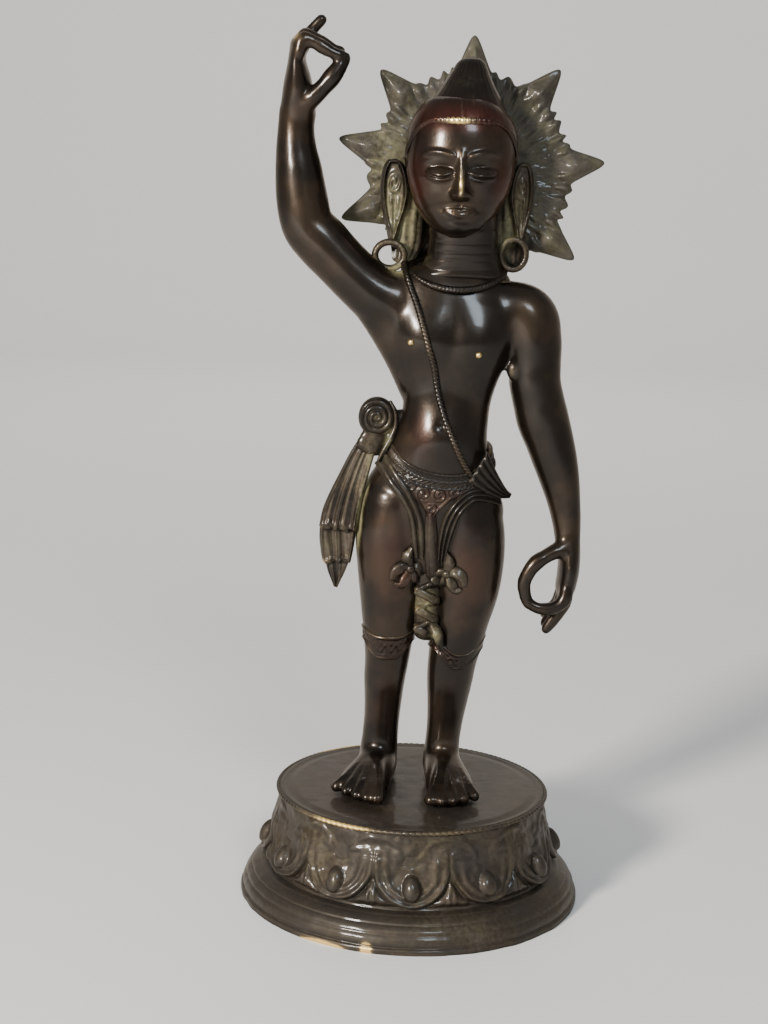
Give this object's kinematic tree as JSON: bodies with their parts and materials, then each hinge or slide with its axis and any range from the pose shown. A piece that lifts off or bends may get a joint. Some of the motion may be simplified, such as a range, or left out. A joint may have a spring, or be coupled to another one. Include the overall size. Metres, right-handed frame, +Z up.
{
  "type": "bronze deity figurine",
  "caption": "Standing bronze deity figurine with one arm raised, a rayed halo behind the head and a hollow round lotus base it rests on.",
  "frame": {"origin": "on the axis of the round base, in the plane of its standing rim", "axes": "+Z up along the figure's height, the figure faces -Y, its raised right hand is on the -X side"},
  "size_m": [0.0952, 0.0952, 0.2389],
  "materials": {
    "figure_bronze": "dark brown polished bronze, worn to brass on raised edges",
    "halo_bronze": "olive grey patina over cast bronze",
    "base_bronze": "brown grey patina over cast bronze, bright brass on the rim beads and part of the lip"
  },
  "bodies": {
    "root": {"figure": "figure_bronze", "halo": "halo_bronze", "lotus_base": "base_bronze"}
  },
  "joints": []
}
